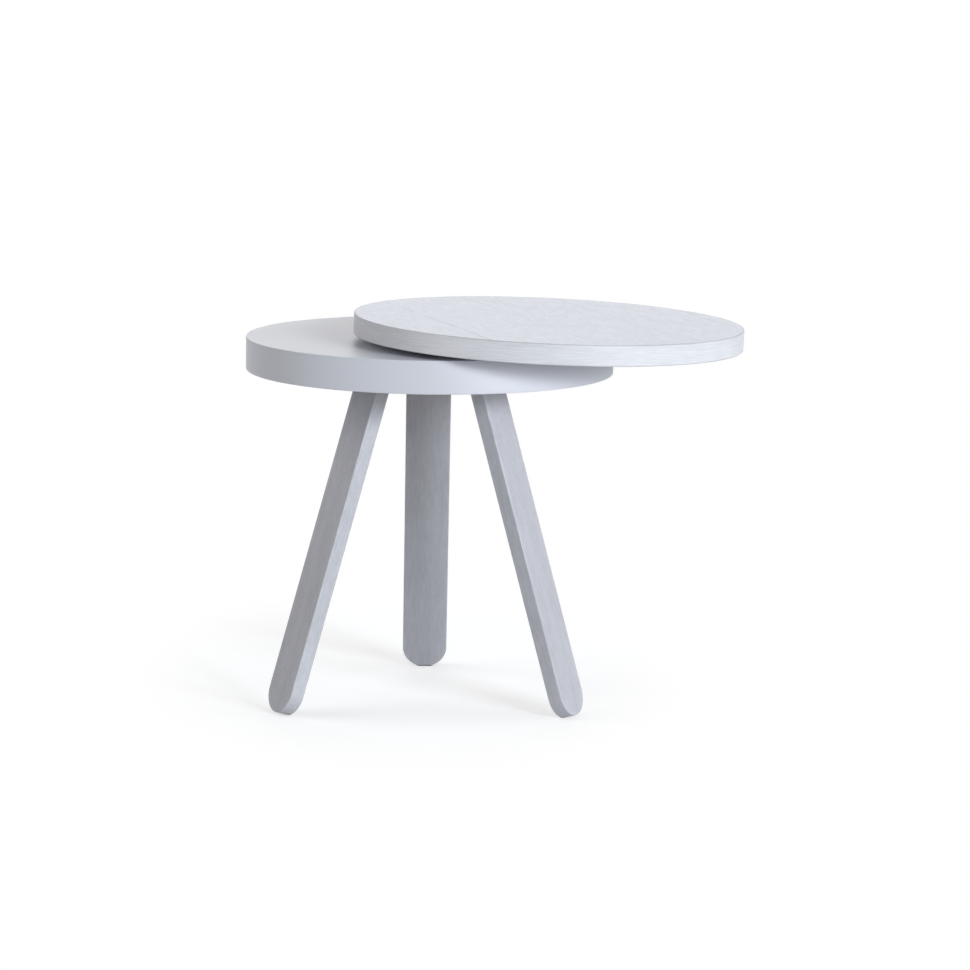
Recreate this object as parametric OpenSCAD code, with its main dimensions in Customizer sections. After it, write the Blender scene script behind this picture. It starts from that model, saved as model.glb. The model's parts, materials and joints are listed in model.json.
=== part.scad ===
// Low side table: a round fixed top on three splayed board legs, and a slightly
// larger round tray that swings out over its edge on an off-centre spindle.
// Millimetres and degrees. The floor is z = 0 and the origin is the centre of
// the footprint that the table and its swung tray cover together.

/* [Fixed top] */
// Diameter of the fixed top
top_d = 450; // [440:1:540]
// Thickness of the fixed top, its two boards together
top_h = 40; // [38:1:56]
// Thickness of the lower of its two boards
lower_board_h = 18; // [16:1:20]
// Height of its underside above the floor
under_z = 412; // [340:1:520]
// Width of the chamfer on its outer edges
top_ease = 0.8; // [0.3:0.1:2]

/* [Tray] */
// Diameter of the tray
tray_d = 474; // [440:1:560]
// Thickness of the tray
tray_h = 25; // [22:1:36]
// Turn of the tray from its place right over the fixed top
tray_turn = 90; // [0:5:180]
// Lean of the tray towards +X
tray_lean = 1.7; // [0:0.1:2.5]
// Smallest gap between the tray and the fixed top
tray_gap = 0.5; // [0.5:0.1:3]
// Thickness of the wooden band round the tray's edge
band_t = 1.5; // [1:0.1:3]
// Width of the chamfer on the band's edges
band_ease = 0.5; // [0.2:0.1:0.8]
// Thickness of the face veneers
veneer_h = 1; // [0.6:0.1:2]
// Width of one leaf of the upper veneer
leaf_w = 120; // [80:1:200]
// Distance of the nearest leaf joint from the tray's centre
leaf_shift = 26.5; // [0:0.5:40]
// Width of the joint between two leaves
leaf_joint = 0.1; // [0.1:0.05:0.5]
// Direction of the grain while the tray is over the fixed top
grain_az = 20; // [0:1:179]

/* [Legs] */
// Width of a leg board
leg_w = 56; // [50:1:66]
// Thickness of a leg board
leg_t = 18; // [16:1:22]
// Radius of the legs' centre lines at the underside of the fixed top
leg_top_r = 75.5; // [72:0.5:84]
// Radius of the legs' centre lines at the floor
foot_r = 204.5; // [180:0.5:210]
// Direction of the back leg, counted from +X
back_leg_az = 90; // [80:1:100]
// Depth of the sockets that hold the legs' upper ends
socket_h = 12; // [8:0.5:14]
// Clearance round a leg in its socket
socket_clear = 0.2; // [0.1:0.05:0.4]
// Width of the flat sole across a rounded foot
sole_w = 15; // [12:1:28]
// Thickness of the glide under a foot
glide_h = 1.2; // [0.8:0.1:2]

/* [Leg fixings] */
// Width of the block behind a leg
block_w = 50; // [46:1:56]
// Thickness of a block, from its leg to the bolt heads
block_t = 30; // [28:1:34]
// Height of a block
block_h = 22; // [22:1:30]
// Distance between the two bolts of a leg
bolt_gap = 32; // [31:1:33]
// Diameter of the bolts
bolt_d = 6; // [5:0.5:6]
// Diameter of the bolt heads
bolt_head_d = 10; // [8.5:0.5:11]
// Height of the bolt heads
bolt_head_h = 6; // [5:0.5:7]
// Width across the flats of the hexagon socket in a bolt head
bolt_key = 5; // [4:0.5:5]
// Diameter of the washers under the bolt heads
washer_d = 12; // [11:0.5:13]
// Thickness of those washers
washer_h = 1.6; // [1:0.1:2]
// Diameter of the threaded inserts in the legs
insert_d = 9; // [8:0.5:10]
// Length of the threaded inserts
insert_l = 11; // [9:0.5:12]
// Depth that the block screws reach into the fixed top
block_screw_bite = 11; // [8:0.5:14]
// Diameter of the wood screws
screw_d = 4; // [3.5:0.1:4.2]
// Diameter of the wood screws' heads
screw_head_d = 7.5; // [7:0.1:8]
// Width across the flats of the hexagon socket in a wood screw
screw_key = 2.5; // [2:0.1:3]
// Clearance round screws, inserts and let-in parts in wood
hole_clear = 0.1; // [0.05:0.05:0.3]
// Clearance of bolts and of the spindle's end in holes and washers
bolt_clear = 0.2; // [0.1:0.05:0.4]
// Clearance between a thread and its nut or insert
thread_clear = 0.05; // [0.02:0.01:0.1]

/* [Pivot] */
// Distance of the pivot from the fixed top's centre
pivot_r = 105; // [104:1:120]
// Diameter of the spindle
spindle_d = 16; // [14:0.5:18]
// Radial running clearance of the spindle
spindle_clear = 0.05; // [0.02:0.01:0.1]
// Axial play of the spindle
axial_play = 0.1; // [0.05:0.05:0.3]
// Diameter of the spindle's head
spindle_head_d = 26; // [22:1:30]
// Height of the spindle's head
spindle_head_h = 4; // [3:0.5:6]
// Diameter of the spindle's threaded end
thread_d = 10; // [8:1:11]
// Diameter of the plate let into the tray
plate_d = 84; // [78:1:110]
// Thickness of that plate
plate_h = 3; // [2:0.5:5]
// Diameter of the circle that the plate's screws stand on
plate_screw_ring = 60; // [52:1:64]
// Length of the plate's screws
plate_screw_l = 16; // [12:1:18]
// Number of screws in the plate, and in the bush's flange
ring_screws = 4; // [3:1:6]
// Diameter of the spacer disc between the plate and the bush
spacer_d = 50; // [44:1:54]
// Depth of the bush's flange below the fixed top's upper face
flange_sink = 1.4; // [1:0.1:3]
// Diameter of the bush's flange
flange_d = 54; // [53:1:56]
// Thickness of the bush's flange
flange_h = 2.5; // [2:0.5:4]
// Diameter of the bush's barrel
barrel_d = 26; // [24:1:27]
// Diameter of the circle that the bush's screws stand on
flange_screw_ring = 40; // [38:0.5:42]
// Length of the bush's screws
flange_screw_l = 12; // [10:1:14]

/* [Pivot nut] */
// Diameter of the nut pocket in the fixed top's underside
pocket_d = 42; // [40:1:50]
// Depth of the nut pocket
pocket_h = 21; // [20.5:0.5:23]
// Diameter of the plastic wear washer against the pocket's ceiling
wear_washer_d = 34; // [30:1:36]
// Thickness of the wear washer
wear_washer_h = 1.5; // [1:0.1:2]
// Diameter of the steel washer under it
steel_washer_d = 30; // [26:1:34]
// Thickness of the steel washer
steel_washer_h = 1.6; // [1:0.1:2]
// Diameter of the disc spring
disc_spring_d = 24; // [20:1:28]
// Height of the disc spring
disc_spring_h = 1.6; // [1.3:0.1:2]
// Thickness of the disc spring's steel
disc_spring_t = 0.9; // [0.6:0.1:1.1]
// Width across the flats of the lock nut
nut_key = 17; // [16:1:19]
// Height of the lock nut
nut_h = 10; // [8:0.5:10]
// Diameter of the cap over the pocket
cap_d = 48; // [46:1:54]
// Thickness of the cap's rim plate
cap_h = 1.5; // [1:0.1:2.5]
// Depth of the cap's collar in the pocket
collar_h = 5; // [3:0.5:7]
// Wall of the cap's collar
collar_t = 1.6; // [1:0.1:2.5]
// Clearance of the collar in the pocket
collar_clear = 0.3; // [0.2:0.05:0.5]

/* [Hidden] */

lacquer = [0.80, 0.82, 0.86];
leg_lacquer = [0.72, 0.74, 0.78];
pale_wood = [0.86, 0.87, 0.90];
board_brown = [0.66, 0.55, 0.42];
beech = [0.82, 0.66, 0.48];
zinc = [0.75, 0.77, 0.80];
nylon = [0.93, 0.93, 0.90];
dark_rubber = [0.16, 0.16, 0.18];

$fn = 96;
// Overrun of a cutter past the face that it opens
over = 1;

top_r = top_d / 2;
top_z = under_z + top_h;
upper_board_h = top_h - lower_board_h;
glue_z = under_z + lower_board_h;
tray_r = tray_d / 2;
core_r = tray_r - band_t;

// The legs stand at thirds of a circle, and lean out by the slope from their
// radius at the fixed top to their radius at the floor
leg_step = 360 / 3;
leg_azs = [back_leg_az, back_leg_az + leg_step, back_leg_az - leg_step];
leg_lean = atan((foot_r - leg_top_r) / under_z);
// Length of half-round foot that the flat sole cuts off, along the leg
sole_rise = leg_w / 2 - sqrt(pow(leg_w / 2, 2) - pow(sole_w / 2, 2));
// Height of the rounded end on the leg's own centre line
foot_tip = leg_t / 2 * tan(leg_lean) - sole_rise;
leg_len = (under_z + top_h) / cos(leg_lean);
// Height of the bolts on the leg's own centre line: the middle of the block
bolt_s = (under_z - block_h / 2 + (leg_t + block_t) / 2 * sin(leg_lean)) / cos(leg_lean);
// Radius midway between the block's inner face and the leg in its socket
block_inner_r = leg_top_r + block_h * tan(leg_lean) - (leg_t / 2 + block_t) / cos(leg_lean);
socket_inner_r = leg_top_r - leg_t / 2 / cos(leg_lean) - socket_h * tan(leg_lean);
block_mid_r = (block_inner_r + socket_inner_r) / 2;
// Offset of the two block screws from that radius and from the leg's middle plane
block_screw_dr = 4;
block_screw_dy = 5;

// The pivot lies midway between the back leg and the right leg
pivot_az = back_leg_az - leg_step / 2;
pivot_x = pivot_r * cos(pivot_az);
pivot_y = pivot_r * sin(pivot_az);
// Height of the tray's underside over the fixed top at the pivot
tray_lift = tray_gap + tan(tray_lean) * (top_r - pivot_x);

// Distances along the spindle, counted down from the tray's underside
flange_w = (tray_lift + flange_sink) / cos(tray_lean);
ceiling_w = (tray_lift + top_h) / cos(tray_lean) - pocket_h;
steel_washer_w = ceiling_w + wear_washer_h + axial_play;
spring_w = steel_washer_w + steel_washer_h;
nut_w = spring_w + disc_spring_h;
// Length of thread that shows below the nut
thread_tail = 1;
spindle_end_w = nut_w + nut_h + thread_tail;
// Centre of the pocket's mouth in the underside of the fixed top
mouth_x = pivot_x - (tray_lift + top_h) * tan(tray_lean);

// Footprint of the fixed top and the swung tray, which sets the origin
tray_dir = pivot_az + 180 + tray_turn;
tray_u = pivot_r * cos(tray_dir);
tray_v = pivot_r * sin(tray_dir);
band_top_x = (tray_h - band_ease) * sin(tray_lean);
reach_x_hi = max(top_r, pivot_x + (tray_u + tray_r) * cos(tray_lean) + band_top_x);
reach_x_lo = min(-top_r, pivot_x + (tray_u - tray_r) * cos(tray_lean));
reach_y_hi = max(top_r, pivot_y + tray_v + tray_r);
reach_y_lo = min(-top_r, pivot_y + tray_v - tray_r);
centre_x = (reach_x_hi + reach_x_lo) / 2;
centre_y = (reach_y_hi + reach_y_lo) / 2;

// Places, each inside the one before it

// From the fixed top's axis to the origin
module placed() {
    translate([-centre_x, -centre_y, 0]) children();
}

// The spindle's axis, with z = 0 at the tray's underside
module on_pivot() {
    placed() translate([pivot_x, pivot_y, top_z + tray_lift]) rotate([0, tray_lean, 0]) children();
}

// The spindle's axis, turned with the tray
module on_swing() {
    on_pivot() rotate([0, 0, tray_turn]) children();
}

// The tray's centre, with z = 0 at its underside
module on_tray() {
    on_swing() translate([-pivot_x, -pivot_y, 0]) children();
}

// A leg's centre line at the floor: x points out through the broad face, z runs up the leg
module on_leg(az) {
    rotate([0, 0, az]) translate([foot_r, 0, 0]) rotate([0, -leg_lean, 0]) children();
}

// The two bolt axes of each leg, with z pointing from the block into the leg's inner face
module at_bolts() {
    for (az = leg_azs, side = [-1, 1])
        on_leg(az) translate([-leg_t / 2, side * bolt_gap / 2, bolt_s]) rotate([0, 90, 0]) children();
}

// The two screws of each block, with z pointing up from the block's lower face
module at_block_screws() {
    for (az = leg_azs, side = [-1, 1])
        rotate([0, 0, az])
            translate([block_mid_r + side * block_screw_dr, side * block_screw_dy, under_z - block_h])
                children();
}

// Evenly spaced places on a circle round the z axis
module on_ring(ring_d, count) {
    for (i = [0 : count - 1])
        rotate([0, 0, i * 360 / count]) translate([ring_d / 2, 0, 0]) children();
}

// Everything between two heights
module between(z_lo, z_hi) {
    intersection() {
        children();
        translate([-top_d, -top_d, z_lo]) cube([2 * top_d, 2 * top_d, z_hi - z_lo]);
    }
}

// Shapes that repeat

module disc(d, h) {
    cylinder(d = d, h = h);
}

module ring(d, bore, h) {
    difference() {
        disc(d, h);
        translate([0, 0, -over]) disc(bore, h + 2 * over);
    }
}

// Hexagon by its width across the flats
module hexagon(key, h) {
    cylinder(d = key / cos(30), h = h, $fn = 6);
}

// Half section of a countersunk screw with its head at z = 0 and its point down
module screw_section(len, grow, lift) {
    head_r = screw_head_d / 2 + grow;
    shank_r = screw_d / 2 + grow;
    sink = (screw_head_d - screw_d) / 2;
    polygon([
        [0, lift], [head_r, lift], [head_r, 0], [shank_r, -sink],
        [shank_r, screw_d - len], [0, -len - grow]
    ]);
}

module wood_screw(len) {
    difference() {
        rotate_extrude() screw_section(len, 0, 0);
        translate([0, 0, -screw_key / 2]) hexagon(screw_key, screw_key);
    }
}

module screw_hole(len) {
    rotate_extrude() screw_section(len, hole_clear, over);
}

// Board with a half-round lower end, upright in the leg's own frame
module leg_blank(grow) {
    wide = leg_w + 2 * grow;
    rotate([90, 0, 90]) translate([0, 0, -leg_t / 2 - grow]) linear_extrude(leg_t + 2 * grow)
        translate([0, foot_tip + leg_w / 2]) {
            circle(d = wide);
            translate([-wide / 2, 0]) square([wide, leg_len]);
        }
}

// Fixed top

module bush_and_pocket_cut() {
    on_pivot() {
        translate([0, 0, -flange_w - flange_h]) disc(flange_d + 2 * hole_clear, flange_w + flange_h);
        translate([0, 0, -ceiling_w - over]) disc(barrel_d + 2 * hole_clear, ceiling_w);
        translate([0, 0, -ceiling_w - pocket_h - over]) disc(pocket_d, pocket_h + over);
    }
    at_flange_screws() screw_hole(flange_screw_l);
}

module at_flange_screws() {
    on_pivot() translate([0, 0, -flange_w]) on_ring(flange_screw_ring, ring_screws) children();
}

module upper_board() {
    color(lacquer) difference() {
        placed() translate([0, 0, glue_z]) rotate_extrude() polygon([
            [0, 0], [top_r, 0], [top_r, upper_board_h - top_ease],
            [top_r - top_ease, upper_board_h], [0, upper_board_h]
        ]);
        bush_and_pocket_cut();
    }
}

module lower_board() {
    color(lacquer) difference() {
        placed() translate([0, 0, under_z]) rotate_extrude() polygon([
            [0, 0], [top_r - top_ease, 0], [top_r, top_ease],
            [top_r, lower_board_h], [0, lower_board_h]
        ]);
        bush_and_pocket_cut();
        placed() between(under_z - over, under_z + socket_h)
            for (az = leg_azs) on_leg(az) leg_blank(socket_clear);
        placed() at_block_screws() mirror([0, 0, 1]) screw_hole(block_h + block_screw_bite);
    }
}

// Legs

module leg(az) {
    color(leg_lacquer) placed() difference() {
        between(glide_h, under_z + socket_h) on_leg(az) leg_blank(0);
        at_bolts() translate([0, 0, -over]) disc(insert_d + 2 * hole_clear, insert_l + hole_clear + over);
    }
}

module glide(az) {
    color(dark_rubber) placed() between(0, glide_h) on_leg(az) leg_blank(0);
}

module leg_block(az) {
    color(beech) placed() difference() {
        between(under_z - block_h, under_z)
            on_leg(az) translate([-leg_t / 2 - block_t, -block_w / 2, 0]) cube([block_t, block_w, leg_len]);
        at_bolts() translate([0, 0, -block_t - over]) disc(bolt_d + 2 * bolt_clear, block_t + 2 * over);
        at_block_screws() mirror([0, 0, 1]) screw_hole(block_h + block_screw_bite);
    }
}

module leg_inserts() {
    color(zinc) placed() at_bolts() ring(insert_d, bolt_d + 2 * thread_clear, insert_l);
}

module leg_bolts() {
    grip = block_t + washer_h;
    color(zinc) placed() at_bolts() difference() {
        union() {
            translate([0, 0, -grip]) disc(bolt_d, grip + insert_l);
            translate([0, 0, -grip - bolt_head_h]) disc(bolt_head_d, bolt_head_h);
        }
        translate([0, 0, -grip - bolt_head_h - over]) hexagon(bolt_key, bolt_head_h / 2 + over);
    }
}

module leg_bolt_washers() {
    color(zinc) placed() at_bolts() translate([0, 0, -block_t - washer_h])
        ring(washer_d, bolt_d + 2 * bolt_clear, washer_h);
}

module block_screws() {
    color(zinc) placed() at_block_screws() mirror([0, 0, 1]) wood_screw(block_h + block_screw_bite);
}

// Pivot parts that stay with the fixed top

module pivot_bush() {
    color(zinc) difference() {
        on_pivot() difference() {
            union() {
                translate([0, 0, -flange_w - flange_h]) disc(flange_d, flange_h);
                translate([0, 0, -ceiling_w]) disc(barrel_d, ceiling_w - flange_w);
            }
            translate([0, 0, -ceiling_w - over]) disc(spindle_d + 2 * spindle_clear, ceiling_w + over);
        }
        at_flange_screws() screw_hole(flange_screw_l);
    }
}

module bush_screws() {
    color(zinc) at_flange_screws() wood_screw(flange_screw_l);
}

module spacer_disc() {
    color(nylon) on_pivot() translate([0, 0, -flange_w])
        ring(spacer_d, spindle_d + 2 * bolt_clear, flange_w - axial_play);
}

module wear_washer() {
    color(nylon) on_pivot() translate([0, 0, -ceiling_w - wear_washer_h])
        ring(wear_washer_d, thread_d + 2 * bolt_clear, wear_washer_h);
}

module pocket_cap() {
    collar_d = pocket_d - 2 * collar_clear;
    color(lacquer) placed() translate([mouth_x, pivot_y, under_z]) {
        translate([0, 0, -cap_h]) disc(cap_d, cap_h);
        translate([0, 0, -cap_h]) difference() {
            disc(collar_d, cap_h + collar_h);
            translate([0, 0, cap_h]) disc(collar_d - 2 * collar_t, collar_h + over);
        }
    }
}

// Pivot parts that turn with the tray

module spindle() {
    color(zinc) on_swing() {
        translate([0, 0, plate_h]) disc(spindle_head_d, spindle_head_h);
        translate([0, 0, -ceiling_w]) disc(spindle_d, ceiling_w + plate_h);
        translate([0, 0, -spindle_end_w]) disc(thread_d, spindle_end_w);
    }
}

module at_plate_screws() {
    on_ring(plate_screw_ring, ring_screws) mirror([0, 0, 1]) children();
}

module pivot_plate() {
    color(zinc) on_swing() difference() {
        ring(plate_d, spindle_d + 2 * spindle_clear, plate_h);
        at_plate_screws() screw_hole(plate_screw_l);
    }
}

module plate_screws() {
    color(zinc) on_swing() at_plate_screws() wood_screw(plate_screw_l);
}

module steel_washer() {
    color(zinc) on_swing() translate([0, 0, -spring_w])
        ring(steel_washer_d, thread_d + 2 * bolt_clear, steel_washer_h);
}

module disc_spring() {
    bore_r = thread_d / 2 + bolt_clear;
    rise = disc_spring_h - disc_spring_t;
    color(zinc) on_swing() translate([0, 0, -nut_w]) rotate_extrude() polygon([
        [bore_r, 0], [disc_spring_d / 2, rise],
        [disc_spring_d / 2, disc_spring_h], [bore_r, disc_spring_t]
    ]);
}

module lock_nut() {
    color(zinc) on_swing() translate([0, 0, -nut_w - nut_h]) difference() {
        hexagon(nut_key, nut_h);
        translate([0, 0, -over]) disc(thread_d + 2 * thread_clear, nut_h + 2 * over);
    }
}

// Tray

// Recess for the plate, the spindle's head above it, and the screws
module pivot_seat_cut() {
    on_swing() {
        translate([0, 0, -over]) disc(plate_d + 2 * hole_clear, plate_h + over);
        disc(spindle_head_d + 2 * hole_clear, plate_h + spindle_head_h + hole_clear);
        at_plate_screws() screw_hole(plate_screw_l);
    }
}

module tray_core() {
    color(board_brown) difference() {
        on_tray() translate([0, 0, veneer_h]) disc(2 * core_r, tray_h - 2 * veneer_h);
        pivot_seat_cut();
    }
}

module tray_edge_band() {
    color(pale_wood) on_tray() rotate_extrude() polygon([
        [core_r, 0], [tray_r - band_ease, 0], [tray_r, band_ease],
        [tray_r, tray_h - band_ease], [tray_r - band_ease, tray_h], [core_r, tray_h]
    ]);
}

// Leaves of veneer side by side, cut to the core's outline
module tray_upper_veneer() {
    leaves = ceil((core_r + leaf_shift) / leaf_w);
    color(pale_wood) on_tray() rotate([0, 0, grain_az]) intersection() {
        translate([0, 0, tray_h - veneer_h]) disc(2 * core_r, veneer_h);
        for (i = [-leaves : leaves - 1])
            translate([-core_r, leaf_shift + i * leaf_w + leaf_joint / 2, tray_h - veneer_h])
                cube([2 * core_r, leaf_w - leaf_joint, veneer_h]);
    }
}

module tray_lower_veneer() {
    color(pale_wood) difference() {
        on_tray() disc(2 * core_r, veneer_h);
        pivot_seat_cut();
    }
}

upper_board();
lower_board();
leg(leg_azs[0]);  // leg_back
leg(leg_azs[1]);  // leg_left
leg(leg_azs[2]);  // leg_right
glide(leg_azs[0]);  // glide_back
glide(leg_azs[1]);  // glide_left
glide(leg_azs[2]);  // glide_right
leg_block(leg_azs[0]);  // leg_block_back
leg_block(leg_azs[1]);  // leg_block_left
leg_block(leg_azs[2]);  // leg_block_right
leg_inserts();
leg_bolts();
leg_bolt_washers();
block_screws();
pivot_bush();
bush_screws();
spacer_disc();
wear_washer();
pocket_cap();
spindle();
pivot_plate();
plate_screws();
steel_washer();
disc_spring();
lock_nut();
tray_core();
tray_edge_band();
tray_upper_veneer();
tray_lower_veneer();
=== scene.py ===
"""Low side table with a round fixed top, three board legs and a tray that swings out.

The looks and the studio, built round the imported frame. Metres and radians, +Z up.
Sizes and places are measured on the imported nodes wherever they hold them.
"""

import json
import math
from collections import namedtuple

import bmesh
import bpy
from mathutils import Matrix, Vector


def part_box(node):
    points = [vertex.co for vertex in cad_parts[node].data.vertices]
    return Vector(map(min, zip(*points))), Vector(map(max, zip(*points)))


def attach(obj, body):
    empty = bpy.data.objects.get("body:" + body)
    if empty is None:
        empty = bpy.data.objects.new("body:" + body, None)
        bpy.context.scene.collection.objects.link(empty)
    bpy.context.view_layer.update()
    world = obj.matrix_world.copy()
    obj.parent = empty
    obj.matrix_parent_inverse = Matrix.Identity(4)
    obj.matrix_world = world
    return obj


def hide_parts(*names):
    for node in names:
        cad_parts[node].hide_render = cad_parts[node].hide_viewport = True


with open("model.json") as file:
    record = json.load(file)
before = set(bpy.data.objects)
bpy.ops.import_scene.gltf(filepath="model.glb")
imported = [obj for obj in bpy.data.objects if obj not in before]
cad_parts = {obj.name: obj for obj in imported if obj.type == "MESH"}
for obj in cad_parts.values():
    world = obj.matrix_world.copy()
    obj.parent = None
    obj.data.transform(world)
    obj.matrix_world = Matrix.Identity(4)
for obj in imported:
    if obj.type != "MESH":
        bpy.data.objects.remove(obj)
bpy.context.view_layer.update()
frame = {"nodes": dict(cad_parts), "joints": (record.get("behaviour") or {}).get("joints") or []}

# Camera at the photograph's angle: its place, counted from the foot of the fixed top's axis,
# its turns, its lens and sensor in millimetres, and how far it sees
CAMERA_PLACE = Vector((-0.04218, -4.79798, 1.04751))
CAMERA_YAW, CAMERA_PITCH, CAMERA_ROLL = 0.0234, 0.16075, -0.01575
CAMERA_LENS, CAMERA_SENSOR = 146.39, 36
CAMERA_SEES_TO = 200

# Directions of the legs from the fixed top's axis, in degrees from +X
LEG_AZIMUTHS = {"back": 90, "left": 210, "right": 330}
# A leg is drawn this many times as long as the height it reaches, then cut level
LEG_SPARE = 1.2

# Radii of the rounded edges
TOP_EDGE_R = 0.0008
LEG_EDGE_R = 0.0012
BAND_EDGE_R = 0.0006
# Width of the strip along an edge that wears
WEAR_W = 0.003
# Steps of a rounded edge, and of a half turn and a whole turn of a large round
EDGE_STEPS = 4
HALF_STEPS = 64
ROUND_STEPS = 384
# Faces that meet at more than this are parted by a sharp edge
SHARP = math.radians(30)

# Let-in parts of the pivot: thickness of the bush's flange, radius of its barrel,
# clearance round both, and radius of the nut pocket
FLANGE_H = 0.0025
BARREL_R = 0.013
LET_IN_CLEAR = 0.0001
POCKET_R = 0.021
# Clearance round a leg in its socket
SOCKET_CLEAR = 0.0002
# How far a cutter runs past the face that it opens, and past the fixed top's upper and lower
# faces, which the pivot's cutters meet at a slant
OVER = 0.002
OVER_TOP = 0.02
OVER_UNDER = 0.01

# Points this near to a height lie on the level cut at that height
LEVEL = 0.00005
# Points this near to a cutting plane lie on it
ON_PLANE = 1e-7
# Points nearer to each other than this are one point
SAME_PLACE = 1e-6

# Upper veneer: its thickness, the width of a leaf, the distance of the nearest joint from
# the tray's centre, the direction of the grain, and half the width and the depth of the
# groove between two leaves
VENEER_H = 0.001
LEAF_W = 0.120
LEAF_SHIFT = 0.0265
GRAIN_TURN = math.radians(110)
GROOVE_HALF_W, GROOVE_H = 0.0003, 0.00008
# Wear at the foot of a leaf's side: the dark line of a joint begins above it
FOOT_WEAR = 0.5
# The joint that has opened a little, counted from the one nearest to the tray's centre:
# where along the grain it starts to open and where it is fully open, and how much of the
# dark line shows at its shut end and on the other joints
OPEN_JOINT = 1
OPENS_FROM, OPEN_AT = 0.10, -0.01
SHUT_END, SHUT_JOINT = 0.3, 0.35
# From leaf to leaf the grain's pattern moves on by this much along and across
LEAF_STEP = (1.7, 0.31)
# Width of a growth ring across the grain as a share of its length along the grain, and how
# far the rings wander
RING_WIDTH = 0.10
RING_DRIFT = 0.016

# Hidden fittings: the width and the steps of their broken edges, the turn under which two
# faces are one flat face, and the turn over which an edge is broken
FITTING_EDGE, FITTING_STEPS = 0.0003, 2
FITTING_FLAT = math.radians(0.5)
FITTING_SHARP = math.radians(40)
# Cosines of the turn of a rounded edge's normal at which the edge begins to show, and shows
# in full
EDGE_COSINES = (0.97, 0.85)
# How much smoother lacquer is where it is rubbed
RUB_POLISH = 0.08

# Colours of the finishes in sRGB
COLOURS = {
    "drum_lacquer": (198, 199, 206),
    "leg_lacquer": (172, 172, 178),
    "pale_veneer": (230, 232, 241),
    # The edge band is the same wood as the veneer in a darker colour: painted shade on the tray's side
    "pale_edge_band": (209, 209, 213),
    "core_board": (176, 148, 112),
    "beech": (214, 184, 148),
    "zinc_steel": (196, 199, 204),
    "bush_steel": (176, 178, 184),
    "glide_rubber": (52, 52, 60),
    "nylon": (234, 233, 226),
    "cap_plastic": (200, 204, 210),
}

# Lamps: name, azimuth, elevation and spread in degrees, level and colour
COOL, WHITE = (0.947, 1.0, 1.05), (1, 1, 1)
LAMPS = (
    ("key_low", -50, 12, 16, 0.64, COOL),
    ("key_high", -62, 17, 10, 0.357, COOL),
    ("left", 180, 30, 50, 0.393, WHITE),
    ("right", 0, 30, 50, 0.2, WHITE),
    ("back", 90, 30, 50, 0.217, WHITE),
)
# Floor: half its width, its parts each way, and its colour to rays that carry light
FLOOR_HALF = 30
FLOOR_PARTS = 8
FLOOR_COLOUR = (0.8, 0.8, 0.8, 1)
# Shadow on the floor: how much of it shows, the middle and half axes of the oval in which it
# shows, counted from the foot of the fixed top's axis, and where, in half axes, it fades
SHADOW_SHOWN = 0.55
SHADOW_MIDDLE = Vector((-0.02, 0.17, 0))
SHADOW_REACH = Vector((0.27, 0.45, 1))
SHADOW_WHOLE, SHADOW_GONE = 0.7, 1.4
# Soft shade on the floor under the table, and how far off a piece still makes it
VEIL = 0.33
VEIL_REACH = 0.7
# Rays that a material sends out from each point to find edges or pieces near it
LOOK_ROUND = 4

# Up, and away from the camera
UP = Vector((0, 0, 1))
AWAY = Vector((0, 1, 0))


def srgb(red, green, blue):
    """Linear colour of an sRGB colour written as 0 to 255."""
    def linear(level):
        share = level / 255
        return share / 12.92 if share <= 0.04045 else ((share + 0.055) / 1.055) ** 2.4
    return (linear(red), linear(green), linear(blue), 1)


def span(node, direction, origin=Vector((0, 0, 0))):
    """Lowest and highest place of a CAD node along a direction, counted from origin."""
    places = [direction.dot(v.co - origin) for v in frame["nodes"][node].data.vertices]
    return min(places), max(places)


def place(origin, z_axis, y_axis):
    """Matrix of a local frame with these axes."""
    x_axis = y_axis.cross(z_axis)
    matrix = Matrix((x_axis, y_axis, z_axis)).transposed().to_4x4()
    matrix.translation = origin
    return matrix


# What the frame holds
board_lo, board_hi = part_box("upper_board")
TOP_R = (board_hi.x - board_lo.x) / 2
TOP_Z = board_hi.z
UNDER_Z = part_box("lower_board")[0].z
AXIS_FOOT = Vector(((board_lo.x + board_hi.x) / 2, (board_lo.y + board_hi.y) / 2, 0))
TOP_PLACE = Matrix.Translation(AXIS_FOOT)

swivel = frame["joints"][0]
PIVOT = Vector(swivel["pos_m"])
SPINDLE = Vector(swivel["axis"]).normalized()
PIVOT_PLACE = place(PIVOT, SPINDLE, AWAY)
band_lo, band_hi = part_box("tray_edge_band")
band_span = span("tray_edge_band", SPINDLE)
TRAY_R = (band_hi.y - band_lo.y) / 2
TRAY_H = band_span[1] - band_span[0]
TRAY_FOOT = (band_lo + band_hi) / 2 - SPINDLE * TRAY_H / 2
TRAY_PLACE = place(TRAY_FOOT, SPINDLE, AWAY)
GRAIN_PLACE = TRAY_PLACE @ Matrix.Rotation(GRAIN_TURN, 4, "Z")
veneer_lo, veneer_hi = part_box("tray_lower_veneer")
CORE_R = (veneer_hi.y - veneer_lo.y) / 2


# Meshes

def arc(centre_r, centre_z, radius, start, end):
    """Points of a round edge in a half section, angles in degrees from the +r direction."""
    angles = [math.radians(start + (end - start) * i / EDGE_STEPS) for i in range(EDGE_STEPS + 1)]
    return [(centre_r + radius * math.cos(a), centre_z + radius * math.sin(a)) for a in angles]


def worn(points):
    """Half section points of a round edge, marked as worn."""
    return [(r, z, 1) for r, z in points]


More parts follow.
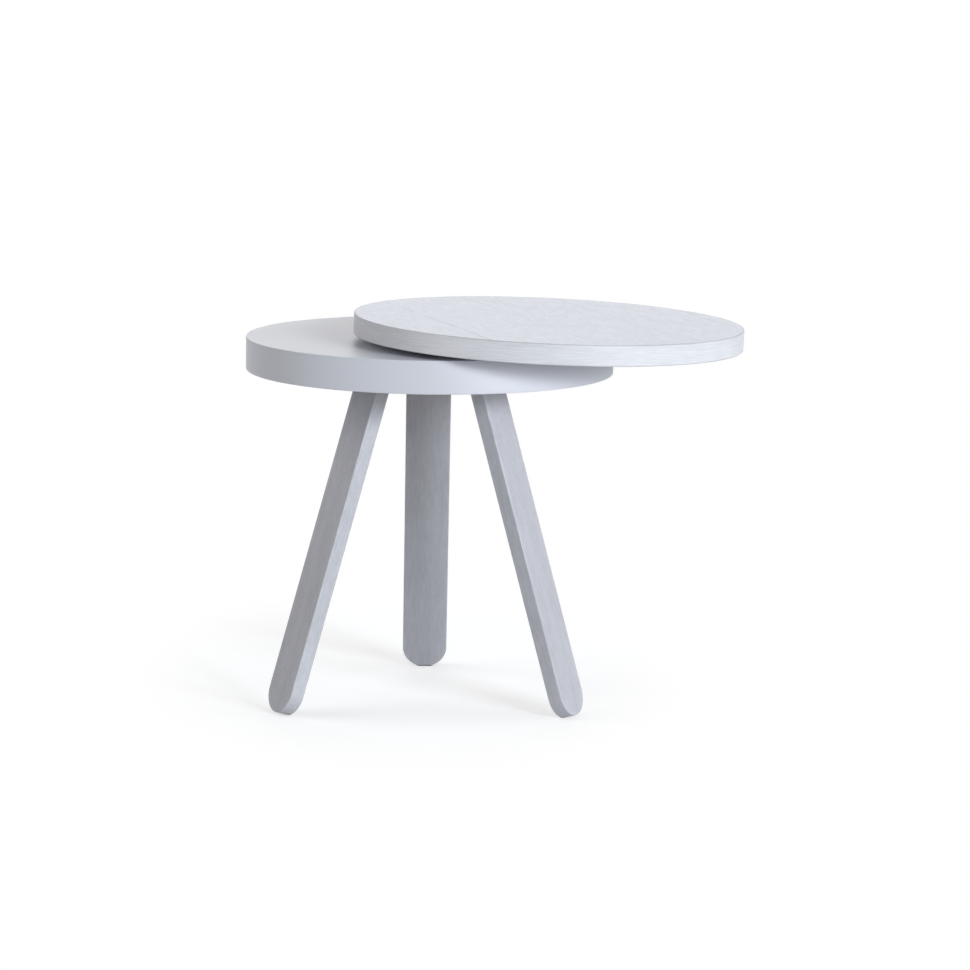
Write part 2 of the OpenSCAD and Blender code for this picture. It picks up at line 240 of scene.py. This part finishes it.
def loft(name, rings, closed=False):
    """Mesh through rings of (x, y, z, wear) points, its ends capped unless it closes on itself.

    wear is kept as a point attribute that the materials read along the edges."""
    mesh = bmesh.new()
    wear = mesh.verts.layers.float.new("wear")
    made = []
    for ring in rings:
        row = []
        for x, y, z, amount in ring:
            vert = mesh.verts.new((x, y, z))
            vert[wear] = amount
            row.append(vert)
        made.append(row)
    for low, high in zip(made, made[1:] + made[:1] if closed else made[1:]):
        for i in range(len(low)):
            j = (i + 1) % len(low)
            mesh.faces.new((low[i], low[j], high[j], high[i]))
    if not closed:
        mesh.faces.new(reversed(made[0]))
        mesh.faces.new(made[-1])
    bmesh.ops.dissolve_degenerate(mesh, dist=SAME_PLACE, edges=mesh.edges)
    bmesh.ops.recalc_face_normals(mesh, faces=mesh.faces)
    return add_object(name, mesh)


def add_object(name, mesh):
    """Puts a finished mesh in the scene."""
    data = bpy.data.meshes.new(name)
    mesh.to_mesh(data)
    mesh.free()
    piece = bpy.data.objects.new(name, data)
    bpy.context.scene.collection.objects.link(piece)
    return piece


def lathe(name, profile, closed=False):
    """Round piece about z from a half section of (r, z, wear) points."""
    turns = [2 * math.pi * i / ROUND_STEPS for i in range(ROUND_STEPS)]
    rings = [
        [(r * math.cos(a), r * math.sin(a), z, amount) for a in turns]
        for r, z, amount in profile
    ]
    return loft(name, rings, closed)


def bore(radius, z_lo, z_hi, matrix):
    """Round cutter along a local z axis."""
    cutter = lathe("cutter", [(radius, z_lo, 0), (radius, z_hi, 0)])
    cutter.data.transform(matrix)
    return cutter


def cut(piece, cutters):
    """Takes the cutters out of the piece for good."""
    for cutter in cutters:
        boolean = piece.modifiers.new("cut", "BOOLEAN")
        boolean.operation = "DIFFERENCE"
        boolean.solver = "EXACT"
        boolean.object = cutter
    bpy.context.view_layer.update()
    evaluated = piece.evaluated_get(bpy.context.evaluated_depsgraph_get())
    data = bpy.data.meshes.new_from_object(evaluated)
    piece.modifiers.clear()
    piece.data = data
    for cutter in cutters:
        bpy.data.objects.remove(cutter)


def keep_local(piece, matrix):
    """Keeps each point's place in the piece's own frame as an attribute, for its material."""
    back = matrix.inverted()
    local = piece.data.attributes.new("local", "FLOAT_VECTOR", "POINT")
    local.data.foreach_set("vector", [c for v in piece.data.vertices for c in back @ v.co])


def set_down(piece, matrix):
    """Puts a mesh made in its own frame where the matrix says, its object at the origin."""
    piece.data.transform(matrix)
    keep_local(piece, matrix)


def shade(piece):
    """Smooth rounds and flat faces, parted at sharp edges."""
    piece.data.shade_smooth()
    piece.data.set_sharp_from_angle(angle=SHARP)
    normals = piece.modifiers.new("normals", "WEIGHTED_NORMAL")
    normals.keep_sharp = True


# Legs

# A leg's own frame, with x through the board, y across it and z along it; the place of its
# half-round tip along z; its width and thickness; the two heights at which it is cut level
LegShape = namedtuple("LegShape", "matrix tip wide thick low high")


def leg_shape(side):
    """A leg as the CAD node has it."""
    turn = math.radians(LEG_AZIMUTHS[side])
    out = Vector((math.cos(turn), math.sin(turn), 0))
    across = UP.cross(out)
    low, high = (corner.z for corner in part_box(f"leg_{side}"))
    corners = [v.co - AXIS_FOOT for v in frame["nodes"][f"leg_{side}"].data.vertices]
    upper_cut = [out.dot(c) for c in corners if c.z > high - LEVEL]
    inner_foot = min(out.dot(c) for c in corners if c.z < low + LEVEL)
    half_cut = (max(upper_cut) - min(upper_cut)) / 2
    slope = (inner_foot - min(upper_cut)) / (high - low)
    lean = math.atan(slope)
    foot = AXIS_FOOT + out * (inner_foot + half_cut + low * slope)
    along = UP * math.cos(lean) - out * math.sin(lean)
    tip = span(f"leg_{side}", along, foot)[0]
    near, far = span(f"leg_{side}", across, AXIS_FOOT)
    return LegShape(place(foot, along, across), tip, far - near, 2 * half_cut * math.cos(lean), low, high)


def socket_shape(leg):
    """The hole in the fixed top that takes a leg, a little wider all round."""
    return leg._replace(
        tip=leg.tip - SOCKET_CLEAR,
        wide=leg.wide + 2 * SOCKET_CLEAR,
        thick=leg.thick + 2 * SOCKET_CLEAR,
        low=UNDER_Z - OVER,
    )


def leg_ring(half_w, tip, length, x, inset, amount):
    """Outline of a board with a half-round lower end, at the height x of its thickness."""
    radius = half_w - inset
    turns = [math.pi * i / HALF_STEPS for i in range(HALF_STEPS + 1)]
    ring = [(x, radius, length, amount)]
    ring += [(x, radius * math.cos(a), tip + half_w - radius * math.sin(a), amount) for a in turns]
    ring.append((x, -radius, length, amount))
    return ring


def leg_board(name, shape, edge_r=LEG_EDGE_R):
    """A board with a half-round lower end and rounded edges, cut level at its two heights."""
    half_t = shape.thick / 2
    face_edge = half_t - edge_r
    layers = [(half_t, edge_r + WEAR_W, 0)]
    layers += [(x, -y, 1) for x, y in arc(face_edge, -edge_r, edge_r, 0, 90)]
    layers += [(face_edge - WEAR_W, 0, 0)]
    layers += [(-x, inset, amount) for x, inset, amount in reversed(layers)]
    length = LEG_SPARE * shape.high
    piece = loft(name, [leg_ring(shape.wide / 2, shape.tip, length, *layer) for layer in layers])
    mesh = bmesh.new()
    mesh.from_mesh(piece.data)
    level = shape.matrix.to_3x3().transposed() @ UP
    for height, outward in ((shape.low, -1), (shape.high, 1)):
        hit = bmesh.ops.bisect_plane(
            mesh, geom=mesh.verts[:] + mesh.edges[:] + mesh.faces[:], dist=ON_PLANE,
            plane_co=level * height, plane_no=level * outward, clear_outer=True,
        )
        rim = [e for e in hit["geom_cut"] if isinstance(e, bmesh.types.BMEdge)]
        bmesh.ops.contextual_create(mesh, geom=rim)
    bmesh.ops.recalc_face_normals(mesh, faces=mesh.faces)
    mesh.to_mesh(piece.data)
    mesh.free()
    set_down(piece, shape.matrix)
    return piece


# Fixed top

def fixed_top(legs):
    """Lacquered disc with rounded edges, the pivot's let-in holes and the legs' sockets."""
    high, low, edge = TOP_Z, UNDER_Z, TOP_EDGE_R
    inner = TOP_R - edge
    profile = [(inner - WEAR_W, high, 0)]
    profile += worn(arc(inner, high - edge, edge, 90, 0))
    profile += [(TOP_R, high - edge - WEAR_W, 0), (TOP_R, low + edge + WEAR_W, 0)]
    profile += worn(arc(inner, low + edge, edge, 0, -90))
    profile += [(inner - WEAR_W, low, 0)]
    piece = lathe("fixed_top", profile)
    piece.data.transform(TOP_PLACE)

    flange_near, flange_far = span("pivot_bush", AWAY)
    flange_r = (flange_far - flange_near) / 2 + LET_IN_CLEAR
    bush_low, bush_high = span("pivot_bush", SPINDLE, PIVOT)
    above = TOP_Z - PIVOT.z + OVER_TOP
    below = UNDER_Z - PIVOT.z - OVER_UNDER
    cutters = [
        bore(flange_r, bush_high - FLANGE_H, above, PIVOT_PLACE),
        bore(BARREL_R + LET_IN_CLEAR, bush_low - OVER, bush_high, PIVOT_PLACE),
        bore(POCKET_R, below, bush_low, PIVOT_PLACE),
    ]
    cutters += [leg_board("cutter", socket_shape(leg), TOP_EDGE_R) for leg in legs]
    cut(piece, cutters)
    keep_local(piece, TOP_PLACE)
    return piece


# Tray

def tray_band():
    """Wooden band round the tray's edge."""
    edge = BAND_EDGE_R
    outer = TRAY_R - edge
    profile = [(CORE_R, 0, 0)]
    profile += worn(arc(outer, edge, edge, -90, 0))
    profile += [(TRAY_R, edge + WEAR_W, 0), (TRAY_R, TRAY_H - edge - WEAR_W, 0)]
    profile += worn(arc(outer, TRAY_H - edge, edge, 0, 90))
    profile += [(CORE_R + GROOVE_HALF_W, TRAY_H, 1), (CORE_R, TRAY_H - GROOVE_H, 1)]
    piece = lathe("tray_rim_band", profile, closed=True)
    set_down(piece, TRAY_PLACE)
    return piece


def leaf_outline(v_lo, v_hi, radius, height, amount):
    """Outline of the strip of a disc between two lines along x."""
    start, end = (math.asin(max(-1, min(1, v / radius))) for v in (v_lo, v_hi))
    turns = [start + (end - start) * i / HALF_STEPS for i in range(HALF_STEPS + 1)]
    right = [(radius * math.cos(a), radius * math.sin(a), height, amount) for a in turns]
    left = [(-x, y, z, wear) for x, y, z, wear in reversed(right)]
    return right + left


def veneer_leaves():
    """Leaves of the upper veneer, x along their grain, with a fine groove at each joint.

    Wear is 1 in the groove, and goes down to 0 on the face beside it."""
    most = math.ceil((CORE_R + LEAF_SHIFT) / LEAF_W)
    joints = [LEAF_SHIFT + i * LEAF_W for i in range(-most, most + 1)]
    sides = [-CORE_R] + [v for v in joints if abs(v) < CORE_R] + [CORE_R]
    low, high = TRAY_H - VENEER_H, TRAY_H
    section = (
        (low, 0, FOOT_WEAR),
        (high - GROOVE_H, 0, 1),
        (high, GROOVE_HALF_W, 1),
        (high, WEAR_W / 2, 0),
    )
    leaves = []
    for number, (v_lo, v_hi) in enumerate(zip(sides, sides[1:]), 1):
        rings = [
            leaf_outline(v_lo + inset, v_hi - inset, CORE_R - inset, height, amount)
            for height, inset, amount in section
        ]
        leaf = loft(f"veneer_leaf_{number}", rings)
        set_down(leaf, GRAIN_PLACE)
        leaves.append(leaf)
    return leaves


# Materials

class Finish:
    """A material's nodes. Patterns are drawn in metres, in the piece's own frame: on pieces made
    here that frame is kept in their points, and on a CAD node it is given as a matrix."""

    def __init__(self, name, matrix=None):
        self.material = bpy.data.materials.new(name)
        self.material.use_nodes = True
        self.tree = self.material.node_tree
        self.shader = self.tree.nodes["Principled BSDF"]
        self.normal = None
        if matrix is None:
            self.here = self.add("Attribute", attribute_name="local").outputs["Vector"]
        else:
            back = matrix.inverted()
            corner = self.add("TexCoord").outputs["Object"]
            inputs = {"Vector": corner, "Location": back.translation, "Rotation": back.to_euler()}
            self.here = self.add("Mapping", inputs).outputs["Vector"]

    def add(self, kind, inputs=None, **settings):
        """A node, with its settings and its inputs by name or number: values or other outputs."""
        node = self.tree.nodes.new("ShaderNode" + kind)
        for key, value in settings.items():
            setattr(node, key, value)
        for key, value in (inputs or {}).items():
            self.feed(node.inputs[key], value)
        return node

    def feed(self, socket, value):
        """Links an output to the socket, or sets a value on it."""
        if isinstance(value, bpy.types.NodeSocket):
            self.tree.links.new(value, socket)
        else:
            socket.default_value = value

    def calc(self, how, first, second=0):
        """One or two numbers put together as the named operation says."""
        return self.add("Math", {0: first, 1: second}, operation=how).outputs[0]

    def product(self, *factors):
        """All the factors multiplied."""
        total = factors[0]
        for factor in factors[1:]:
            total = self.calc("MULTIPLY", total, factor)
        return total

    def joined(self, x, y, z):
        """Vector of three numbers."""
        return self.add("CombineXYZ", {0: x, 1: y, 2: z}).outputs[0]

    def length(self, vector):
        """Length of a vector."""
        return self.add("VectorMath", {0: vector}, operation="LENGTH").outputs["Value"]

    def noise(self, scale, detail=2, roughness=0.5, distortion=0.0, at=None):
        """Cloudy pattern from 0 to 1 with this many clouds to the metre, the same number all
        ways or one each along x, y and z."""
        each_way = scale if isinstance(scale, tuple) else (scale, scale, scale)
        moved = self.add("VectorMath", {0: at or self.here, 1: each_way}, operation="MULTIPLY")
        inputs = {"Vector": moved.outputs[0], "Scale": 1, "Detail": detail}
        inputs |= {"Roughness": roughness, "Distortion": distortion}
        return self.add("TexNoise", inputs).outputs[0]

    def ramp(self, source, start, end, low, high):
        """source from start to end becomes low to high, and stays there outside them."""
        inputs = {0: source, 1: start, 2: end, 3: low, 4: high}
        return self.add("MapRange", inputs).outputs[0]

    def pattern(self, scale, low, high, spread=0.2, **noise):
        """Noise as a level: low where it is spread or more under its middle value, and high
        where it is as far over it."""
        return self.ramp(self.noise(scale, **noise), 0.5 - spread, 0.5 + spread, low, high)

    def spots(self, scale, start, end, **noise):
        """1 where the noise is over end, and 0 where it is under start."""
        return self.ramp(self.noise(scale, **noise), start, end, 0, 1)

    def marked(self, mask, level):
        """1 where the mask is 0, and level where the mask is 1."""
        return self.ramp(mask, 0, 1, 1, level)

    def wear(self):
        """1 along the edges and 0 away from them, on pieces made here."""
        return self.add("Attribute", attribute_name="wear").outputs["Fac"]

    def edges(self, radius):
        """1 at the edges of a CAD node and 0 on its faces, from how far the normals of rounded
        edges turn away from the face's own."""
        rounded = self.add("Bevel", {"Radius": radius}, samples=LOOK_ROUND).outputs[0]
        flat = self.add("NewGeometry").outputs["Normal"]
        along = self.add("VectorMath", {0: rounded, 1: flat}, operation="DOT_PRODUCT")
        return self.ramp(along.outputs["Value"], *EDGE_COSINES, 0, 1)

    def rubbed(self, roughness, rub):
        """Roughness that is less where the lacquer is rubbed."""
        return self.calc("SUBTRACT", roughness, self.product(rub, RUB_POLISH))

    def bump(self, height, depth):
        """Relief of this depth in metres where height goes from 0 to 1."""
        inputs = {"Strength": 1.0, "Distance": depth, "Height": height}
        if self.normal:
            inputs["Normal"] = self.normal
        self.normal = self.add("Bump", inputs).outputs[0]

    def done(self, colour, tone, roughness, metallic=0.0):
        """The material, its named colour made lighter or darker by the tone."""
        inputs = {0: 1.0, 6: srgb(*COLOURS[colour]), 7: tone}
        toned = self.add("Mix", inputs, data_type="RGBA", blend_type="MULTIPLY").outputs[2]
        self.feed(self.shader.inputs["Base Color"], toned)
        self.feed(self.shader.inputs["Roughness"], roughness)
        self.shader.inputs["Metallic"].default_value = metallic
        if self.normal:
            self.feed(self.shader.inputs["Normal"], self.normal)
        return self.material


def drum_lacquer():
    """Smooth pale lacquer on fibreboard."""
    f = Finish("drum_lacquer")
    cloud = f.pattern(7, 0.992, 1.008, detail=3)
    speck = f.pattern(900, 0.994, 1.006, detail=1)
    rub = f.product(f.wear(), f.spots(45, 0.42, 0.62, detail=3, roughness=0.6))
    sheen = f.pattern(30, 0.42, 0.48, detail=3)
    f.shader.inputs["Specular IOR Level"].default_value = 0.36
    f.bump(f.noise(1300, detail=1), 0.000012)
    f.bump(f.noise(60), 0.00003)
    return f.done("drum_lacquer", f.product(cloud, speck, f.marked(rub, 0.965)), f.rubbed(sheen, rub))


def leg_lacquer():
    """Matt lacquer over close-grained wood, x through the board and z along its grain."""
    f = Finish("leg_lacquer")
    streak = f.product(
        f.pattern((170, 170, 5), 0.972, 1.028, detail=3, roughness=0.6, distortion=0.4),
        f.pattern((640, 640, 45), 0.925, 1.07, spread=0.14, detail=3, roughness=0.7),
    )
    cloud = f.product(
        f.pattern((22, 22, 11), 0.955, 1.045, detail=4, roughness=0.6),
        f.pattern(120, 0.975, 1.025, spread=0.16, detail=3, roughness=0.6),
    )
    pore = f.spots((900, 900, 45), 0.56, 0.70)
    rub = f.product(f.wear(), f.spots((60, 60, 25), 0.42, 0.62, detail=3, roughness=0.6))
    tone = f.product(streak, cloud, f.marked(pore, 0.93), f.marked(rub, 1.06))
    sheen = f.pattern((40, 40, 12), 0.42, 0.52, detail=3)
    f.bump(f.marked(pore, 0), 0.00002)
    f.bump(f.noise((220, 220, 5)), 0.00002)
    return f.done("leg_lacquer", tone, f.rubbed(sheen, rub))


def pale_veneer(name, matrix=None):
    """Open-grained veneer in leaves, whitened, x along the grain and y across the leaves."""
    f = Finish(name, matrix)
    x, y, _ = f.add("SeparateXYZ", {0: f.here}).outputs
    joints_off = f.calc("DIVIDE", f.calc("SUBTRACT", y, LEAF_SHIFT), LEAF_W)
    leaf = f.calc("FLOOR", joints_off)
    leaf_chance = f.add("TexWhiteNoise", {"W": leaf}, noise_dimensions="1D").outputs[0]

    # Grain that starts anew in each leaf
    along = f.calc("ADD", x, f.product(leaf, LEAF_STEP[0]))
    across = f.calc("ADD", y, f.product(leaf, LEAF_STEP[1]))
    shifted = f.joined(along, across, 0)
    fibre = f.product(
        f.pattern((14, 300, 0), 0.955, 1.04, spread=0.12, detail=3, roughness=0.7, at=shifted),
        f.pattern((28, 720, 0), 0.92, 1.07, spread=0.14, roughness=0.7, at=shifted),
        f.pattern((190, 420, 0), 0.955, 1.04, spread=0.12, roughness=0.7, at=shifted),
    )
    pore = f.spots((48, 900, 0), 0.54, 0.66, roughness=0.6, at=shifted)
    fleck = f.pattern((14, 42, 0), 0.985, 1.015, detail=3, roughness=0.6, at=shifted)

    # Growth rings bent round the middle of each leaf
    middle = f.calc("ADD", f.product(leaf, LEAF_W), LEAF_SHIFT + LEAF_W / 2)
    bent = f.length(f.joined(f.product(along, RING_WIDTH), f.calc("SUBTRACT", y, middle), 0))
    drift = f.pattern((3, 9, 0), -RING_DRIFT, RING_DRIFT, spread=0.3, at=shifted)
    lines = f.noise((0, 260, 0), detail=3, roughness=0.65, at=f.joined(0, f.calc("ADD", bent, drift), 0))
    grown = f.ramp(lines, 0.36, 0.64, 0.955, 1.03)

    # Dark lines at the joints
    is_open = f.calc("COMPARE", f.calc("ROUND", joints_off), OPEN_JOINT)
    gape = f.ramp(x, OPENS_FROM, OPEN_AT, SHUT_END, 1)
    groove = f.ramp(f.wear(), FOOT_WEAR, 1, 0, 1)
    joint = f.product(groove, f.ramp(is_open, 0, 1, SHUT_JOINT, gape))

    tone = f.product(
        f.ramp(leaf_chance, 0, 1, 0.985, 1.01), grown, fibre, fleck,
        f.marked(pore, 0.83), f.marked(joint, 0.54),
    )
    f.bump(f.marked(pore, 0), 0.00003)
    f.bump(lines, 0.00002)
    return f.done("pale_veneer", tone, f.ramp(lines, 0.3, 0.7, 0.50, 0.60))


def pale_edge_band():
    """The same wood bent round the edge: its grain runs round the tray."""
    f = Finish("pale_edge_band")
    streak = f.product(
        f.pattern((9, 9, 420), 0.975, 1.02, spread=0.16, roughness=0.6),
        f.pattern((36, 36, 860), 0.905, 1.07, spread=0.14, detail=3, roughness=0.7),
    )
    cloud = f.pattern((6, 6, 60), 0.985, 1.015)
    pore = f.spots((60, 60, 1800), 0.58, 0.70, roughness=0.6)
    # Darker line along the band's rounded edges and in the groove beside the veneer
    arris = f.ramp(f.wear(), 0.75, 1, 0, 1)
    tone = f.product(streak, cloud, f.marked(pore, 0.94), f.marked(arris, 0.68))
    f.bump(f.marked(pore, 0), 0.00003)
    f.bump(f.noise((14, 14, 420), detail=3), 0.00003)
    f.shader.inputs["Sheen Weight"].default_value = 0.25
    # Its colour, darker than the veneer's, is painted shade on the tray's side
    return f.done("pale_edge_band", tone, f.pattern((14, 14, 420), 0.48, 0.58))


def beech(name, matrix):
    """Planed beech with its short ray flecks, y along the grain."""
    f = Finish(name, matrix)
    streak = f.pattern((160, 7, 160), 0.90, 1.06, detail=3, roughness=0.6, distortion=0.3)
    fleck = f.marked(f.spots((900, 190, 900), 0.62, 0.74), 0.82)
    tone = f.product(streak, fleck, f.marked(f.edges(0.0012), 1.06))
    f.bump(f.noise((700, 20, 700)), 0.00003)
    return f.done("beech", tone, f.pattern((60, 12, 60), 0.45, 0.58))


def metal(name, smoothest, roughest):
    """Plated or turned steel with faint blooming, and bright edges."""
    f = Finish(name, Matrix.Identity(4))
    bloom = f.pattern(220, 0.93, 1.04, detail=3, roughness=0.6)
    f.bump(f.noise(2400, detail=1), 0.000006)
    tone = f.product(bloom, f.marked(f.edges(0.0005), 1.1))
    return f.done(name, tone, f.pattern(600, smoothest, roughest), metallic=1.0)


def moulded(name, smoothest, roughest, grain):
    """Moulded plastic or rubber with a fine matt texture of this many grains to the metre."""
    f = Finish(name, Matrix.Identity(4))
    cloud = f.pattern(90, 0.96, 1.04, detail=3)
    f.bump(f.noise(grain), 0.00002)
    tone = f.product(cloud, f.marked(f.edges(0.0006), 1.08))
    return f.done(name, tone, f.pattern(300, smoothest, roughest))


def core_board():
    """Sanded fibreboard, hidden by the veneers and the band."""
    f = Finish("core_board", TRAY_PLACE)
    fibre = f.pattern(1100, 0.88, 1.08, detail=3, roughness=0.7)
    layer = f.pattern((20, 20, 500), 0.96, 1.03)
    f.bump(f.noise(1500), 0.00004)
    return f.done("core_board", f.product(fibre, layer), f.ramp(fibre, 0.88, 1.08, 0.85, 0.75))


# Dressing

def dress(node, material):
    """Gives a CAD node its finish and broken edges."""
    piece = frame["nodes"][node]
    for slot in piece.material_slots:
        slot.material = material
    weld = piece.modifiers.new("weld", "WELD")
    weld.merge_threshold = SAME_PLACE
    flats = piece.modifiers.new("flats", "DECIMATE")
    flats.decimate_type = "DISSOLVE"
    flats.angle_limit = FITTING_FLAT
    edge = piece.modifiers.new("edge", "BEVEL")
    edge.width = FITTING_EDGE
    edge.segments = FITTING_STEPS
    edge.limit_method = "ANGLE"
    edge.angle_limit = FITTING_SHARP
    edge.harden_normals = True
    corners = piece.modifiers.new("corners", "WELD")
    corners.merge_threshold = SAME_PLACE


def dress_fittings(legs):
    """Finishes of all the CAD nodes that are shown as they are."""
    finishes = (
        (moulded("glide_rubber", 0.6, 0.75, 2600), [f"glide_{side}" for side in legs]),
        (metal("zinc_steel", 0.26, 0.42), (
            "leg_inserts", "leg_bolts", "leg_bolt_washers", "block_screws", "bush_screws",
            "pivot_plate", "plate_screws", "steel_washer", "disc_spring", "lock_nut",
        )),
        (metal("bush_steel", 0.18, 0.32), ("pivot_bush", "spindle")),
        (moulded("nylon", 0.35, 0.5, 1800), ("spacer_disc", "wear_washer")),
        (moulded("cap_plastic", 0.45, 0.6, 2200), ("pocket_cap",)),
        (core_board(), ("tray_core",)),
        (pale_veneer("pale_veneer_under", GRAIN_PLACE), ("tray_lower_veneer",)),
    )
    for material, nodes in finishes:
        for node in nodes:
            dress(node, material)
    for side, shape in legs.items():
        dress(f"leg_block_{side}", beech(f"beech_{side}", shape.matrix))


def add_piece(piece, body, slot, material, *nodes):
    """A piece made here: what it moves with, its finish, and the CAD nodes that it stands for."""
    piece.data.materials.clear()
    piece.data.materials.append(material)
    shade(piece)
    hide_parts(*nodes)
    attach(piece, body)


def add_pieces(legs):
    """All the pieces made here."""
    top = fixed_top(legs.values())
    add_piece(top, "base", "drum_lacquer", drum_lacquer(), "upper_board", "lower_board")
    leg_finish = leg_lacquer()
    for side, shape in legs.items():
        board = leg_board(f"leg_board_{side}", shape)
        add_piece(board, "base", "leg_lacquer", leg_finish, f"leg_{side}")
    add_piece(tray_band(), "tray", "pale_edge_band", pale_edge_band(), "tray_edge_band")
    veneer = pale_veneer("pale_veneer")
    for leaf in veneer_leaves():
        add_piece(leaf, "tray", "pale_veneer", veneer, "tray_upper_veneer")


# Studio

def make_camera():
    """Camera at the photograph's angle."""
    cosy, siny = math.cos(CAMERA_YAW), math.sin(CAMERA_YAW)
    reach = math.cos(CAMERA_PITCH)
    forward = Vector((siny * reach, cosy * reach, -math.sin(CAMERA_PITCH)))
    level = Vector((cosy, -siny, 0))
    down = forward.cross(level)
    right = level * math.cos(CAMERA_ROLL) + down * math.sin(CAMERA_ROLL)
    data = bpy.data.cameras.new("camera")
    data.lens = CAMERA_LENS
    data.sensor_width = CAMERA_SENSOR
    data.clip_end = CAMERA_SEES_TO
    camera = bpy.data.objects.new("camera", data)
    camera.matrix_world = place(AXIS_FOOT + CAMERA_PLACE, -forward, right.cross(forward))
    bpy.context.scene.collection.objects.link(camera)
    bpy.context.scene.camera = camera


def make_lamp(name, azimuth, elevation, spread, level, colour):
    """Soft lamp from a direction; at level 1 it lights a white surface that faces it to white."""
    data = bpy.data.lights.new(name, "SUN")
    data.energy = level * math.pi
    data.angle = math.radians(spread)
    data.color = colour
    lamp = bpy.data.objects.new(name, data)
    turn, lift = math.radians(azimuth), math.radians(elevation)
    reach = math.cos(lift)
    back = Vector((math.cos(turn) * reach, math.sin(turn) * reach, math.sin(lift)))
    lamp.rotation_euler = back.to_track_quat("Z", "Y").to_euler()
    bpy.context.scene.collection.objects.link(lamp)


def seen_rays(tree):
    """1 on rays from the camera, a reflection or a clear piece, and 0 on rays that carry light."""
    path = tree.nodes.new("ShaderNodeLightPath")
    total = path.outputs["Is Camera Ray"]
    for kind in ("Is Glossy Ray", "Is Transmission Ray"):
        larger = tree.nodes.new("ShaderNodeMath")
        larger.operation = "MAXIMUM"
        tree.links.new(total, larger.inputs[0])
        tree.links.new(path.outputs[kind], larger.inputs[1])
        total = larger.outputs[0]
    return total


def make_world():
    """White where it is seen or mirrored, and dark to rays that carry light."""
    world = bpy.data.worlds.new("studio")
    world.use_nodes = True
    tree = world.node_tree
    background = tree.nodes["Background"]
    background.inputs["Color"].default_value = (1, 1, 1, 1)
    tree.links.new(seen_rays(tree), background.inputs["Strength"])
    bpy.context.scene.world = world


def floor_finish():
    """White less a share of the light that is missing on the floor, so that the floor keeps the
    table's soft shadow and fades to plain white outside the shadow's oval."""
    f = Finish("floor", Matrix.Translation(AXIS_FOOT + SHADOW_MIDDLE))
    f.tree.nodes.remove(f.shader)
    oval = f.add("VectorMath", {0: f.here, 1: SHADOW_REACH}, operation="DIVIDE").outputs[0]
    inputs = {0: f.length(oval), 1: SHADOW_GONE, 2: SHADOW_WHOLE, 3: 0, 4: SHADOW_SHOWN}
    share = f.add("MapRange", inputs, interpolation_type="SMOOTHSTEP").outputs[0]
    full_light = sum(level * math.sin(math.radians(lift)) for _, _, lift, _, level, _ in LAMPS)
    open_sky = f.add("AmbientOcclusion", {"Distance": VEIL_REACH}, samples=LOOK_ROUND).outputs["AO"]
    veil = f.product(f.calc("SUBTRACT", 1, open_sky), VEIL)
    missing = f.product(share, f.calc("ADD", full_light, veil))
    shadowed = f.add("BsdfDiffuse", {"Color": share}).outputs[0]
    white = f.add("Emission", {"Strength": f.calc("SUBTRACT", 1, missing)}).outputs[0]
    seen = f.add("AddShader", {0: shadowed, 1: white}).outputs[0]
    lit = f.add("BsdfDiffuse", {"Color": FLOOR_COLOUR}).outputs[0]
    both = f.add("MixShader", {0: seen_rays(f.tree), 1: lit, 2: seen}).outputs[0]
    f.tree.links.new(both, f.tree.nodes["Material Output"].inputs["Surface"])
    return f.material


def make_floor():
    """Pale floor."""
    mesh = bmesh.new()
    bmesh.ops.create_grid(mesh, x_segments=FLOOR_PARTS, y_segments=FLOOR_PARTS, size=FLOOR_HALF)
    floor = add_object("floor", mesh)
    floor.data.materials.append(floor_finish())


make_camera()
leg_shapes = {side: leg_shape(side) for side in LEG_AZIMUTHS}
add_pieces(leg_shapes)
dress_fittings(leg_shapes)
for lamp in LAMPS:
    make_lamp(*lamp)
make_world()
make_floor()
bpy.context.scene.view_settings.view_transform = "Standard"
